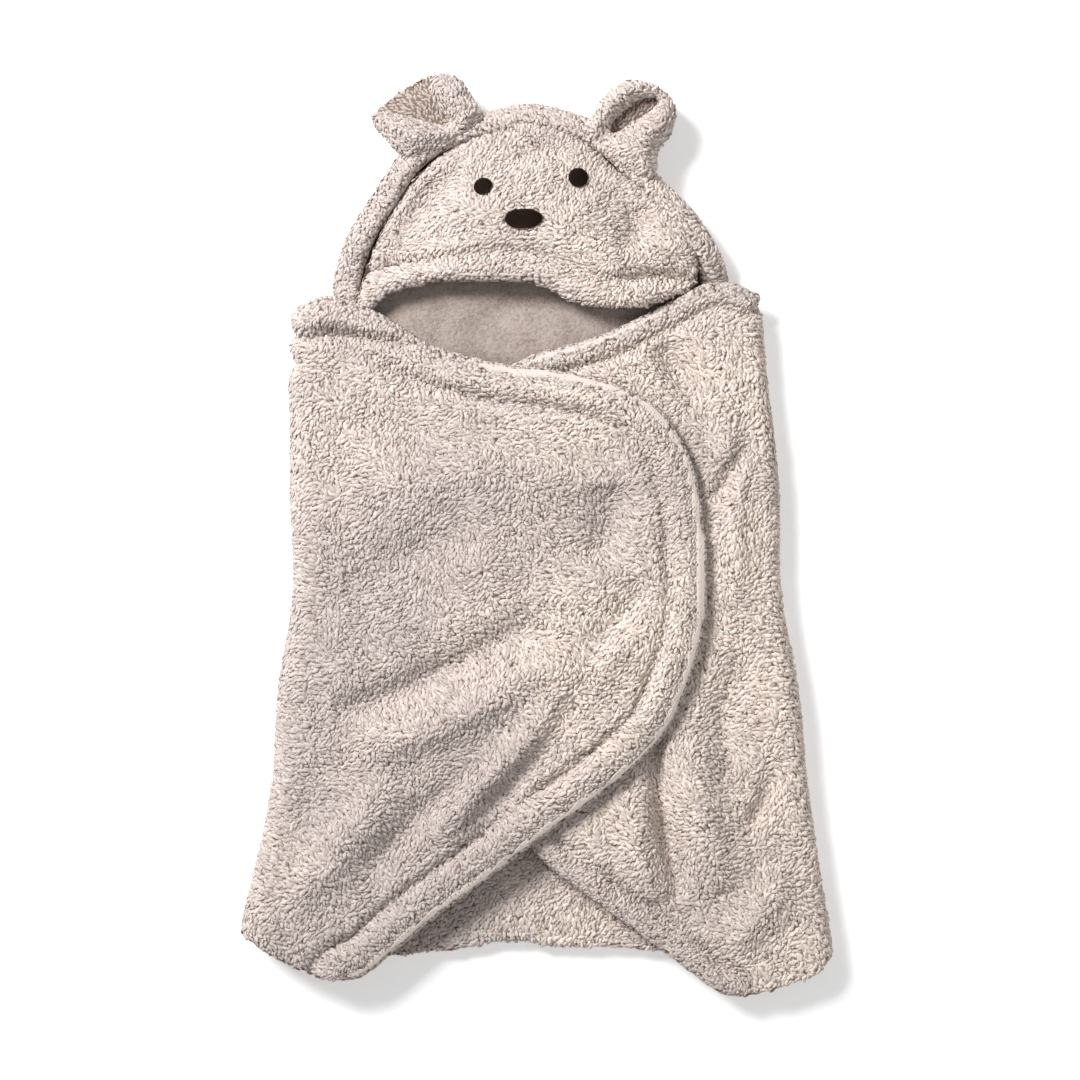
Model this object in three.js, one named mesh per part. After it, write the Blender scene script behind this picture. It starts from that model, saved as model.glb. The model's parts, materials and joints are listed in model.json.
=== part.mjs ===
// Hooded baby wrap with bear ears, lying on its back with both front flaps folded closed.
// Millimetres: +X to the right of a viewer above it, +Y from the feet to the hood, +Z up out of
// the front. The origin is on the resting surface, under the middle of the object's box.
// The wrap is laid out from the middle of its lower edge and centred once at the end.

import * as THREE from "three";

// The body of the wrap
const SHOULDER_WIDTH = 400;
const FOOT_WIDTH = 500;
const BODY_LENGTH = 545;
const CORNER_DROP = 44;            // how far the flaps' lower corners hang past the lower edge

// Cloth thicknesses, and the space that a folded wrap keeps for the body
const FLEECE = 8;
const LINING = 2;
const BODY_SPACE = 10;
const HEM_PROUD = 1.2;             // a turned hem is this much thicker than the panel it edges
const GAP = 0.3;                   // between pieces that touch
const LAYER_GAP = 0.7;             // between the two flaps

// Hems
const LEFT_HEM_WIDTH = 34;
const RIGHT_HEM_WIDTH = 22;
const BACK_HEM_WIDTH = 20;

// The hood
const HOOD_WIDTH = 342;
const HOOD_HEIGHT = 168;
const HOOD_SHIFT = -5;             // its centre, from the middle of the shoulders
const HOOD_SPACE = 14;             // clear depth between the two linings
const RIM_WIDTH = 14;
const HOOD_HEM_WIDTH = 24;
const MOUTH_RISE = 14;             // how far the hood's front edge arches up
const NECK_BAND = 6;               // the seam between the body and the hood

// The face
const FACE_HEIGHT = 100;           // eye line above the hood's base
const FACE_TILT = THREE.MathUtils.degToRad(5.5);
const EYE_SPACING = 81;
const EYE_RADIUS = 8.5;
const NOSE_WIDTH = 32;
const NOSE_HEIGHT = 17;
const NOSE_DROP = 31;              // below the eye line
const NOSE_SHIFT = -9;
const STITCH_THICKNESS = 2;

// The ears
const EAR_WIDTH = 90;
const EAR_BASE = 74;
const EAR_HEIGHT = 51;
const EAR_LIFT = 9;                // underside of an ear above the surface
const EAR_LEFT_PLACE = 0.665;      // place along each half of the hood's outline, 0 at the neck
const EAR_RIGHT_PLACE = 0.66;

const CURVE_STEPS = 14;

// Heights of the layers, from the surface up
const BACK_TOP = FLEECE + GAP + LINING;
const RIGHT_LINING_Z = BACK_TOP + BODY_SPACE;
const RIGHT_FLEECE_Z = RIGHT_LINING_Z + LINING + GAP;
const RIGHT_TOP = RIGHT_FLEECE_Z + FLEECE;
const LEFT_LINING_Z = RIGHT_TOP + HEM_PROUD + LAYER_GAP;
const LEFT_FLEECE_Z = LEFT_LINING_Z + LINING + GAP;
const LEFT_TOP = LEFT_FLEECE_Z + FLEECE;
const HOOD_LINING_Z = BACK_TOP + HOOD_SPACE;
const HOOD_FLEECE_Z = HOOD_LINING_Z + LINING + GAP;
const HOOD_TOP = HOOD_FLEECE_Z + FLEECE;

// The side folds are half pipes whose ends meet the back below and a flap above
const LEFT_FOLD_RADIUS = LEFT_TOP / 2;
const RIGHT_FOLD_RADIUS = RIGHT_TOP / 2;

const HOOD_BASE_Y = BODY_LENGTH + NECK_BAND;

// ---------------------------------------------------------------- helpers

const vec = (x, y) => new THREE.Vector2(x, y);

// A point on the body: across from -1 to 1 between the side lines, up from 0 at the feet to 1.
function onBody(across, up) {
  const halfWidth = (FOOT_WIDTH + (SHOULDER_WIDTH - FOOT_WIDTH) * up) / 2;
  return vec(across * halfWidth, up * BODY_LENGTH);
}

// A point past the lower edge, by a share of the corners' drop.
function belowBody(across, drop) {
  return vec((across * FOOT_WIDTH) / 2, -drop * CORNER_DROP);
}

// The side line of one side (-1 left, 1 right), moved in by a distance.
function sideLine(side, inset) {
  const foot = onBody(side, 0);
  const shoulder = onBody(side, 1);
  const along = shoulder.clone().sub(foot).normalize();
  const inward = vec(-side * along.y, side * along.x);
  return { foot: foot.addScaledVector(inward, inset), shoulder: shoulder.addScaledVector(inward, inset) };
}

function smoothLine(points) {
  return new THREE.SplineCurve(points).getSpacedPoints(points.length * 3);
}

// Unit vectors along an open line at each of its points.
function tangents(line) {
  return line.map((point, i) => {
    const before = line[Math.max(i - 1, 0)];
    const after = line[Math.min(i + 1, line.length - 1)];
    return after.clone().sub(before).normalize();
  });
}

// An open line moved sideways: to its right where side is 1, to its left where side is -1.
function moveAside(line, distance, side) {
  const along = tangents(line);
  return line.map((point, i) => vec(
    point.x + side * distance * along[i].y,
    point.y - side * distance * along[i].x,
  ));
}

// A closed body between two heights, from the points of its outline.
function slab(points, low, high) {
  const shape = new THREE.Shape(points);
  const geometry = new THREE.ExtrudeGeometry(shape, {
    depth: high - low,
    bevelEnabled: false,
    curveSegments: CURVE_STEPS,
  });
  return geometry.translate(0, 0, low);
}

// The band between an open line and the same line moved aside.
function band(line, width, side, low, high) {
  const inner = moveAside(line, width, side);
  return slab([...line, ...inner.reverse()], low, high);
}

// Half a pipe that stands out to one side of a straight level line.
function halfPipe(start, end, outerRadius, wall) {
  const shape = new THREE.Shape();
  shape.absarc(0, 0, outerRadius, -Math.PI / 2, Math.PI / 2, false);
  shape.absarc(0, 0, outerRadius - wall, Math.PI / 2, -Math.PI / 2, true);
  const along = end.clone().sub(start);
  const geometry = new THREE.ExtrudeGeometry(shape, {
    depth: along.length(),
    bevelEnabled: false,
    curveSegments: CURVE_STEPS,
  });
  along.normalize();
  const outward = new THREE.Vector3(-along.y, along.x, 0);
  const turn = new THREE.Matrix4().makeBasis(
    outward,
    new THREE.Vector3(0, 0, 1),
    new THREE.Vector3(along.x, along.y, 0),
  );
  return geometry.applyMatrix4(turn.setPosition(start.x, start.y, outerRadius));
}

// ---------------------------------------------------------------- materials

const fleece = (color) => new THREE.MeshStandardMaterial({ color, roughness: 1, metalness: 0 });
const MATERIALS = {
  fleece: () => fleece(0xcfc0b6),
  hem: () => fleece(0xdccfc4),
  lining: () => fleece(0xb7aaa3),
  stitching: () => new THREE.MeshStandardMaterial({ color: 0x2a170d, roughness: 0.7, metalness: 0 }),
};

const wrap = new THREE.Group();

function add(name, geometry, material, parent = wrap) {
  const mesh = new THREE.Mesh(geometry, MATERIALS[material]());
  mesh.name = name;
  parent.add(mesh);
}

// ---------------------------------------------------------------- body

function addBack() {
  const left = sideLine(-1, LEFT_FOLD_RADIUS + GAP);
  const right = sideLine(1, RIGHT_FOLD_RADIUS + GAP);
  const atHeight = (line, y) => {
    const share = (y - line.foot.y) / (line.shoulder.y - line.foot.y);
    return line.foot.clone().lerp(line.shoulder, share);
  };
  const piece = (from, to) => [
    atHeight(left, from), atHeight(right, from), atHeight(right, to), atHeight(left, to),
  ];
  const panel = piece(BACK_HEM_WIDTH + GAP, BODY_LENGTH - GAP);
  add("back_panel", slab(panel, 0, FLEECE), "fleece");
  add("back_lining", slab(panel, FLEECE + GAP, BACK_TOP), "lining");
  add("back_hem", slab(piece(0, BACK_HEM_WIDTH), 0, BACK_TOP + HEM_PROUD), "hem");
}

function addSideFolds() {
  const wall = BACK_TOP;
  const left = sideLine(-1, LEFT_FOLD_RADIUS);
  const right = sideLine(1, RIGHT_FOLD_RADIUS);
  add("left_side_fold", halfPipe(left.foot, left.shoulder, LEFT_FOLD_RADIUS, wall), "fleece");
  add("right_side_fold", halfPipe(right.shoulder, right.foot, RIGHT_FOLD_RADIUS, wall), "fleece");
}

// A front flap: its free edge runs from the shoulder round to its lower corner.
function addFlap(name, side, flap) {
  const line = sideLine(side, flap.foldRadius + GAP);
  const top = onBody(0, flap.top).y;
  const share = top / BODY_LENGTH;
  const shoulder = line.foot.clone().lerp(line.shoulder, share);
  const start = vec(shoulder.x, top);
  const slope = tangents(smoothLine([start, ...flap.edge]))[0];
  const taper = Math.abs(line.foot.x - line.shoulder.x) / BODY_LENGTH;
  start.x -= side * Math.max(0, -slope.y / Math.abs(slope.x) - taper) * flap.hemWidth;
  const edge = smoothLine([start, ...flap.edge]);
  const inward = -side;
  const inner = moveAside(edge, flap.hemWidth + GAP, inward);
  const last = tangents(edge).at(-1).multiplyScalar(GAP);
  const outline = [
    ...inner,
    inner.at(-1).clone().add(last),
    edge.at(-1).clone().add(last),
    ...flap.lowerEdge,
    line.foot,
  ].filter((point) => side * (line.foot.x - point.x) >= 0);
  const seam = line.foot.clone().lerp(line.shoulder, (top - flap.hemWidth - GAP) / BODY_LENGTH);
  outline[0] = seam;
  add(`${name}_panel`, slab(outline, flap.fleeceZ, flap.fleeceZ + FLEECE), "fleece");
  add(`${name}_lining`, slab(outline, flap.liningZ, flap.liningZ + LINING), "lining");
  const hemTop = flap.fleeceZ + FLEECE + HEM_PROUD;
  add(`${name}_hem`, band(edge, flap.hemWidth, inward, flap.liningZ, hemTop), "hem");
}

// ---------------------------------------------------------------- hood

const hood = new THREE.Group();

// One half of the dome outline, from the neck to the crown, moved in by the rim.
function domeHalf(side, inset) {
  const halfWidth = HOOD_WIDTH / 2 - inset;
  const height = HOOD_HEIGHT - inset;
  return new THREE.CubicBezierCurve(
    vec(side * halfWidth, 0),
    vec(side * halfWidth * 0.92, height * 0.45),
    vec(side * halfWidth * 0.42, height),
    vec(0, height),
  );
}

function domeLine(inset) {
  const left = domeHalf(-1, inset).getPoints(CURVE_STEPS);
  const right = domeHalf(1, inset).getPoints(CURVE_STEPS);
  return [...left, ...right.reverse().slice(1)];
}

// The hood's front edge, arching up from one side of the neck to the other.
function mouthLine(halfWidth, rise) {
  const arch = new THREE.QuadraticBezierCurve(vec(-halfWidth, rise), vec(0, rise + 2 * MOUTH_RISE),
    vec(halfWidth, rise));
  return arch.getPoints(CURVE_STEPS);
}

function addHood() {
  const inner = domeLine(RIM_WIDTH + GAP);
  const rim = [...domeLine(0), ...domeLine(RIM_WIDTH).reverse()];
  add("hood_rim", slab(rim, 0, HOOD_TOP), "fleece", hood);
  add("hood_back_panel", slab(inner, 0, FLEECE), "fleece", hood);
  add("hood_back_lining", slab(inner, FLEECE + GAP, BACK_TOP), "lining", hood);

  const left = inner[0].x;
  const seamHeight = HOOD_HEM_WIDTH + GAP;
  const above = inner.filter((point) => point.y > seamHeight + GAP);
  const seam = mouthLine(above.at(-1).x, seamHeight);
  const face = [...above, ...seam.reverse()];
  add("hood_face_panel", slab(face, HOOD_FLEECE_Z, HOOD_TOP), "fleece", hood);
  add("hood_face_lining", slab(face, HOOD_LINING_Z, HOOD_LINING_Z + LINING), "lining", hood);

  const hemHalf = above.at(-1).x;
  const hem = [...mouthLine(hemHalf, HOOD_HEM_WIDTH).reverse(), vec(left, 0),
    ...mouthLine(-left - GAP, 0).slice(1, -1), vec(-left - GAP, 0)];
  add("hood_hem", slab(hem, HOOD_LINING_Z, HOOD_TOP + HEM_PROUD), "hem", hood);
}

function addFace() {
  const face = new THREE.Group();
  face.position.set(0, FACE_HEIGHT, HOOD_TOP + GAP);
  face.rotation.z = FACE_TILT;
  hood.add(face);
  const outline = (x, y, width, height) => {
    const shape = new THREE.Shape();
    shape.absellipse(x, y, width / 2, height / 2, 0, 2 * Math.PI, false, 0);
    return shape.getPoints(CURVE_STEPS).slice(0, -1);
  };
  const eye = (x) => slab(outline(x, 0, 2 * EYE_RADIUS, 2 * EYE_RADIUS), 0, STITCH_THICKNESS);
  add("eye_left", eye(-EYE_SPACING / 2), "stitching", face);
  add("eye_right", eye(EYE_SPACING / 2), "stitching", face);
  const nose = outline(NOSE_SHIFT, -NOSE_DROP, NOSE_WIDTH, NOSE_HEIGHT);
  add("nose", slab(nose, 0, STITCH_THICKNESS), "stitching", face);
}

// An ear: a fleece back with a folded front, whose two lips leave a wedge open between them.
function addEar(name, side, place) {
  const curve = domeHalf(side, 0);
  const seat = curve.getPoint(place);
  const along = curve.getTangent(place).multiplyScalar(-side);
  const ear = new THREE.Group();
  ear.position.set(seat.x - along.y * GAP, seat.y + along.x * GAP, EAR_LIFT);
  ear.rotation.z = Math.atan2(along.y, along.x);
  hood.add(ear);

  const outline = (inset) => {
    const base = EAR_BASE / 2 - inset;
    const widest = EAR_WIDTH / 2 - inset;
    const top = EAR_HEIGHT - inset;
    const shape = new THREE.Shape();
    shape.moveTo(-base, 0);
    shape.lineTo(base, 0);
    shape.bezierCurveTo(widest * 1.1, top * 0.3, widest * 1.05, top, 0, top);
    shape.bezierCurveTo(-widest * 1.05, top, -widest * 1.1, top * 0.3, -base, 0);
    return shape.getPoints(CURVE_STEPS).slice(0, -1);
  };
  const rim = EAR_HEIGHT / 8;
  const whole = outline(rim);
  const crown = whole.reduce((best, point, i) => (point.y > whole[best].y ? i : best), 0);
  const lipLeft = whole.slice(crown + 2);
  const lipRight = whole.slice(1, crown - 1);
  const fold = vec(0, EAR_HEIGHT * 0.3);
  add(`${name}_back`, slab(outline(0), 0, FLEECE), "fleece", ear);
  const front = [whole[0], ...lipRight, fold, ...lipLeft];
  add(`${name}_front`, slab(front, FLEECE + GAP, FLEECE + GAP + FLEECE), "hem", ear);
}

// The seam strip that joins the hood's back to the body's back.
function addNeckBand() {
  const half = HOOD_WIDTH / 2 - RIM_WIDTH - GAP;
  const x = HOOD_SHIFT;
  const low = BODY_LENGTH;
  const high = HOOD_BASE_Y - GAP;
  const strip = [vec(x - half, low), vec(x + half, low), vec(x + half, high), vec(x - half, high)];
  add("neck_band", slab(strip, 0, BACK_TOP), "lining");
}

// ---------------------------------------------------------------- assembly

addBack();
addSideFolds();
addFlap("left_wrap", -1, {
  foldRadius: LEFT_FOLD_RADIUS,
  hemWidth: LEFT_HEM_WIDTH,
  liningZ: LEFT_LINING_Z,
  fleeceZ: LEFT_FLEECE_Z,
  top: 0.994,
  edge: [
    onBody(-0.66, 0.985), onBody(-0.4, 0.94), onBody(0.1, 0.905), onBody(0.5, 0.85), onBody(0.68, 0.66),
    onBody(0.61, 0.43), onBody(0.43, 0.285), onBody(0.18, 0.2), onBody(-0.32, 0.03), belowBody(-0.6, 0.9),
  ],
  lowerEdge: [belowBody(-0.8, 0.65)],
});
addFlap("right_wrap", 1, {
  foldRadius: RIGHT_FOLD_RADIUS,
  hemWidth: RIGHT_HEM_WIDTH,
  liningZ: RIGHT_LINING_Z,
  fleeceZ: RIGHT_FLEECE_Z,
  top: 0.994,
  edge: [
    onBody(0.5, 0.985), onBody(0.19, 0.945), onBody(-0.14, 0.89), onBody(-0.31, 0.73), onBody(-0.3, 0.5),
    onBody(-0.17, 0.25), onBody(0.23, 0.05), belowBody(0.52, 0.55), belowBody(0.66, 1),
  ],
  lowerEdge: [belowBody(0.9, 0.6)],
});
addNeckBand();
addHood();
addFace();
addEar("ear_left", -1, EAR_LEFT_PLACE);
addEar("ear_right", 1, EAR_RIGHT_PLACE);

hood.position.set(HOOD_SHIFT, HOOD_BASE_Y, 0);
wrap.add(hood);

wrap.updateMatrixWorld(true);
const middle = new THREE.Box3().setFromObject(wrap, true).getCenter(new THREE.Vector3());
wrap.position.set(-middle.x, -middle.y, 0);

export default wrap;
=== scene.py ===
"""A hooded baby wrap of curly fleece with bear ears, built on its packed frame.

Every cloth is a slab cut to its pattern, remeshed, draped by its own folds and grooves and bent
round the side folds. Curly pile is grown over its outer side, and smooth lining follows its inner.
"""

import json
import math

import bmesh
import bpy
import numpy as np
from mathutils import Matrix, Vector

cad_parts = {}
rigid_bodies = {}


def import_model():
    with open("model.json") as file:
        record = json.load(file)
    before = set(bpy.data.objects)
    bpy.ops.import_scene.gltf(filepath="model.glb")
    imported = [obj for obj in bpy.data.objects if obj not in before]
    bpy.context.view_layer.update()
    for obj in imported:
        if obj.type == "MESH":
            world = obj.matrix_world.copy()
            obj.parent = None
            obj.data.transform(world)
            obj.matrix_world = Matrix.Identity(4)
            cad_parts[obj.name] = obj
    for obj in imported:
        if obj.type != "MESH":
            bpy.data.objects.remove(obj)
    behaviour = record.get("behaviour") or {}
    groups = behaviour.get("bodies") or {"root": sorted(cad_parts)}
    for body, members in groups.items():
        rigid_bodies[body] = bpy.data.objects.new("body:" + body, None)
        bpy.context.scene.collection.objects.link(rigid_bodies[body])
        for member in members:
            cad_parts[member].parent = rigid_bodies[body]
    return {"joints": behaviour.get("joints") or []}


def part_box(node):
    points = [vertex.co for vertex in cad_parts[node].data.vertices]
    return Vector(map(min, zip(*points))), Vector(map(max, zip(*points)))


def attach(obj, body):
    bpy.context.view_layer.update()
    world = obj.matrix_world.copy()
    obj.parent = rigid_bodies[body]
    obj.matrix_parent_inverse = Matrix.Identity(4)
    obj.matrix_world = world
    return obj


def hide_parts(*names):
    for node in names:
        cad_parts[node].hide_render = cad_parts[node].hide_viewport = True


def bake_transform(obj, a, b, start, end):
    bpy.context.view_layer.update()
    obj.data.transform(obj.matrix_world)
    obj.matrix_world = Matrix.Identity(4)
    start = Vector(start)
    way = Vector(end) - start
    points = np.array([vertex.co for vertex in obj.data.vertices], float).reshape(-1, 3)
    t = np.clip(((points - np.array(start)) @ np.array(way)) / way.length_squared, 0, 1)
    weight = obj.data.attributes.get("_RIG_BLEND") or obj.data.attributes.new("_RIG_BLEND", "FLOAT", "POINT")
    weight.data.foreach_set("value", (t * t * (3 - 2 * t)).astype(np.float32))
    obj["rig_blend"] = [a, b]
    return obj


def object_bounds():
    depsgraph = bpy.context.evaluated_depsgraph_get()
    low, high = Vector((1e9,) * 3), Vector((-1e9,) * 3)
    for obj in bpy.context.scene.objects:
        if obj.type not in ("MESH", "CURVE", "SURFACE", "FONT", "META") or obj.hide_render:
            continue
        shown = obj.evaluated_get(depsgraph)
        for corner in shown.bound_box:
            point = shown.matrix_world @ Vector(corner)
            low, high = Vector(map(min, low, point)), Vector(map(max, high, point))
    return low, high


bl_info = {
    "name": "Hooded Baby Wrap",
    "version": (1, 0, 0),
    "blender": (4, 5, 0),
    "location": "View3D > Sidebar > Wrap",
    "description": "Builds a hooded fleece baby wrap around its frame",
    "category": "Add Mesh",
}

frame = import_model()
CAD_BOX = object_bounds()
JOINTS = {joint["name"]: joint for joint in frame["joints"]}
MM = 0.001

SHOULDER_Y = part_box("neck_band")[0][1]
FOOT_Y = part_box("back_hem")[0][1]
BODY_LENGTH = SHOULDER_Y - FOOT_Y
BACK_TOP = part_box("back_lining")[1][2]
LEFT_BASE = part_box("left_wrap_lining")[0][2]
RIGHT_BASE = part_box("right_wrap_lining")[0][2]
HOOD_LOW, HOOD_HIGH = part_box("hood_rim")
HOOD_X = (HOOD_LOW[0] + HOOD_HIGH[0]) / 2
HOOD_Y = HOOD_LOW[1]
FACE_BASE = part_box("hood_face_lining")[0][2]

LEFT_HEM = 34 * MM
RIGHT_HEM = 22 * MM
BACK_HEM = 95 * MM
CLOTH_LOW = 2.5 * MM                # the backing's height, on the curls under it
LEAST_HEIGHT = 0.2 * MM             # of the lowest curls above the surface
FINE_VOXEL = 2.6 * MM               # for the small pieces
NECK_BEND = (-34 * MM, 16 * MM)     # where the cloth bends as the hood rises, from the shoulder line


# ------------------------------------------------------------------ settings


class WrapSizes(bpy.types.PropertyGroup):
    """Sizes of the cloth and its pile."""

    voxel: bpy.props.FloatProperty(
        name="Cloth grain", description="Edge length of the cloth's faces",
        default=4 * MM, unit="LENGTH")
    cloth: bpy.props.FloatProperty(
        name="Cloth", description="Thickness of the fleece without its pile",
        default=6 * MM, unit="LENGTH")
    lining: bpy.props.FloatProperty(
        name="Lining", description="Thickness of the lining", default=1.4 * MM, unit="LENGTH")
    curl_length: bpy.props.FloatProperty(
        name="Curl length", description="Length of one curl of pile", default=8.2 * MM, unit="LENGTH")
    curl_width: bpy.props.FloatProperty(
        name="Curl width", description="Width of one curl of pile", default=4.1 * MM, unit="LENGTH")
    curl_height: bpy.props.FloatProperty(
        name="Curl height", description="Thickness of one curl of pile",
        default=2.7 * MM, unit="LENGTH")
    curl_spacing: bpy.props.FloatProperty(
        name="Curl spacing", description="Least distance between two curls",
        default=2.6 * MM, unit="LENGTH")
    under_spacing: bpy.props.FloatProperty(
        name="Underside spacing", description="Least distance between two curls on the back",
        default=3.6 * MM, unit="LENGTH")
    floor: bpy.props.FloatProperty(
        name="Floor", description="Width of the floor", default=16.0, unit="LENGTH")


class WrapColours(bpy.types.PropertyGroup):
    """Colours of the cloth and the stitching."""

    tip: bpy.props.FloatVectorProperty(
        name="Pile tips", description="Colour of the ends of the curls",
        default=(0.85, 0.735, 0.65), subtype="COLOR", size=3)
    # The pile roots colour is mostly painted shade for the curls' lower parts and the gaps between them; it
    # also darkens the lining's mottle and some curls at random.
    root: bpy.props.FloatVectorProperty(
        name="Pile roots", description="Colour between the curls",
        default=(0.13, 0.085, 0.06), subtype="COLOR", size=3)
    # The cool colour is the greyer tone of random patches, and the painted light also spreads it over the
    # left side.
    cool: bpy.props.FloatVectorProperty(
        name="Cool patches", description="Colour of the greyer patches of pile",
        default=(0.62, 0.54, 0.51), subtype="COLOR", size=3)
    hem: bpy.props.FloatVectorProperty(
        name="Smooth edge", description="Colour of the smooth edge strips",
        default=(0.76, 0.665, 0.60), subtype="COLOR", size=3)
    lining: bpy.props.FloatVectorProperty(
        name="Lining", description="Colour of the smooth lining",
        default=(0.46, 0.385, 0.345), subtype="COLOR", size=3)
    stitching: bpy.props.FloatVectorProperty(
        name="Stitching", description="Colour of the eyes and the nose",
        default=(0.014, 0.006, 0.003), subtype="COLOR", size=3)
    floor: bpy.props.FloatVectorProperty(
        name="Floor", description="Colour of the floor",
        default=(0.96, 0.96, 0.96), subtype="COLOR", size=3)


def sizes():
    return bpy.context.scene.wrap_sizes


def colours():
    return bpy.context.scene.wrap_colours


# ------------------------------------------------------------------ places on the wrap


class SideFold:
    """One side of the body: the line its flap turns about, and which way is in."""

    def __init__(self, joint):
        self.body = JOINTS[joint]["child"]
        point = JOINTS[joint]["pos_m"]
        axis = np.array(JOINTS[joint]["axis"][:2])
        self.origin = np.array(point[:2])
        self.height = point[2]
        self.up = axis * math.copysign(1, axis[1])
        self.inward = np.array([self.up[1], -self.up[0]]) * math.copysign(1, -point[0])

    def depth(self, points):
        """How far in from the fold's line each point is."""
        return (points[:, :2] - self.origin) @ self.inward

    def at(self, depth, y):
        """The place at a depth from the fold's line and a height up the body."""
        along = (y - self.origin[1] - depth * self.inward[1]) / self.up[1]
        return self.origin + along * self.up + depth * self.inward


LEFT_FOLD = SideFold("left_wrap_open")
RIGHT_FOLD = SideFold("right_wrap_open")


def on_body(across, up):
    """A place on the body: -1 to 1 between its sides, 0 to 1 from the feet to the shoulders."""
    y = FOOT_Y + up * BODY_LENGTH
    left = LEFT_FOLD.at(-LEFT_FOLD.height, y)[0]
    right = RIGHT_FOLD.at(-RIGHT_FOLD.height, y)[0]
    return np.array([(left + right) / 2 + across * (right - left) / 2, y])


def on_hood(x, y):
    """A place on the hood, in millimetres from the middle of its base."""
    return np.array([HOOD_X + x * MM, HOOD_Y + y * MM])


def on_front(x, y):
    """A place on the wrap, in millimetres from its middle."""
    return np.array([x, y]) * MM


def smooth_line(points, steps=5):
    """An open line that bends smoothly through the points."""
    points = np.array(points)
    before = np.vstack([2 * points[0] - points[1], points[:-1]])
    after = np.vstack([points[1:], 2 * points[-1] - points[-2]])
    slopes = (after - before) / 2
    t = np.linspace(0, 1, steps, endpoint=False)[:, None]
    line = []
    for i in range(len(points) - 1):
        line.extend(
            (2 * t**3 - 3 * t**2 + 1) * points[i] + (t**3 - 2 * t**2 + t) * slopes[i]
            + (3 * t**2 - 2 * t**3) * points[i + 1] + (t**3 - t**2) * slopes[i + 1])
    line.append(points[-1])
    return np.array(line)


def line_distance(points, line):
    """Each point's distance to an open line, and the share of the line where it is nearest."""
    best = np.full(len(points), np.inf)
    share = np.zeros(len(points))
    for i in range(len(line) - 1):
        start, step = line[i], line[i + 1] - line[i]
        t = np.clip(((points - start) @ step) / max(step @ step, 1e-12), 0, 1)
        gap = np.linalg.norm(points - start - t[:, None] * step, axis=1)
        nearer = gap < best
        best[nearer] = gap[nearer]
        share[nearer] = (i + t[nearer]) / (len(line) - 1)
    return best, share


def bell(distance, width):
    """1 at the middle, falling away to nothing over about twice the width."""
    return np.exp(-((distance / width) ** 2))


def ease(t):
    """0 to 1, level at both ends."""
    t = np.clip(t, 0, 1)
    return t * t * (3 - 2 * t)


def side_waves(points, fold, waves, reach=70 * MM):
    """The cloth drawn in at the side: waves are (place up the body, half length, depth) in mm."""
    pull = sum(depth * MM * bell(points[:, 1] - place * MM, length * MM)
               for place, length, depth in waves)
    share = 1 - ease(fold.depth(points) / reach)
    moved = points.copy()
    moved[:, :2] += (pull * share)[:, None] * fold.inward
    return moved


LEFT_WAVES = [(-50, 75, 13), (165, 65, -9), (-200, 75, 10), (-335, 40, -5), (148, 10, 5)]
RIGHT_WAVES = [(150, 110, 7), (-45, 75, 11), (-200, 70, 4), (-350, 45, -4)]


# ------------------------------------------------------------------ meshes


def new_piece(name, bm):
    mesh = bpy.data.meshes.new(name)
    bm.to_mesh(mesh)
    bm.free()
    piece = bpy.data.objects.new(name, mesh)
    bpy.context.scene.collection.objects.link(piece)
    return piece


def apply_modifiers(piece):
    graph = bpy.context.evaluated_depsgraph_get()
    mesh = bpy.data.meshes.new_from_object(
        piece.evaluated_get(graph), preserve_all_data_layers=True, depsgraph=graph)
    piece.modifiers.clear()
    old = piece.data
    piece.data = mesh
    mesh.name = piece.name
    bpy.data.meshes.remove(old)


def get_points(mesh):
    points = np.empty(len(mesh.vertices) * 3, dtype=np.float32)
    mesh.vertices.foreach_get("co", points)
    return points.reshape(-1, 3).astype(float)


def set_points(mesh, points):
    mesh.vertices.foreach_set("co", points.astype(np.float32).ravel())
    mesh.update()


def soften(bm):
    for face in bm.faces:
        face.smooth = True


def relax(bm, factor):
    bmesh.ops.smooth_vert(bm, verts=bm.verts, factor=factor,
                          use_axis_x=True, use_axis_y=True, use_axis_z=True)


def turn_about(bm, verts, angle, axis):
    bmesh.ops.rotate(bm, verts=verts, cent=(0, 0, 0), matrix=Matrix.Rotation(angle, 3, axis))


def slab(name, outline, low, high, voxel=None, rounds=3):
    """A closed cloth between two heights, cut to its outline, remeshed, its edges rounded."""
    bm = bmesh.new()
    face = bm.faces.new([bm.verts.new((x, y, low)) for x, y in outline])
    top = bmesh.ops.extrude_face_region(bm, geom=[face])
    corners = [v for v in top["geom"] if isinstance(v, bmesh.types.BMVert)]
    bmesh.ops.translate(bm, verts=corners, vec=(0, 0, high - low))
    bmesh.ops.recalc_face_normals(bm, faces=bm.faces)
    piece = new_piece(name, bm)
    remesh = piece.modifiers.new("Remesh", "REMESH")
    remesh.mode = "VOXEL"
    remesh.voxel_size = voxel or sizes().voxel
    apply_modifiers(piece)
    bm = bmesh.new()
    bm.from_mesh(piece.data)
    for _ in range(rounds):
        relax(bm, 0.5)
    soften(bm)
    bm.to_mesh(piece.data)
    bm.free()
    return piece


def store(piece, name, values):
    """Keeps a number for each point, as an attribute."""
    layer = piece.data.attributes.get(name) or piece.data.attributes.new(name, "FLOAT", "POINT")
    layer.data.foreach_set("value", values.astype(np.float32))


def soft_noise(points, size, seed):
    """Gentle waves without a visible repeat, from -1 to 1."""
    draw = np.random.default_rng(seed)
    total = np.zeros(len(points))
    for _ in range(9):
        angle, phase = draw.uniform(0, 2 * math.pi, 2)
        length = size * draw.uniform(0.6, 1.6)
        run = points[:, 0] * math.cos(angle) + points[:, 1] * math.sin(angle)
        total += np.sin(2 * math.pi * run / length + phase)
    return total / 5


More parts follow.
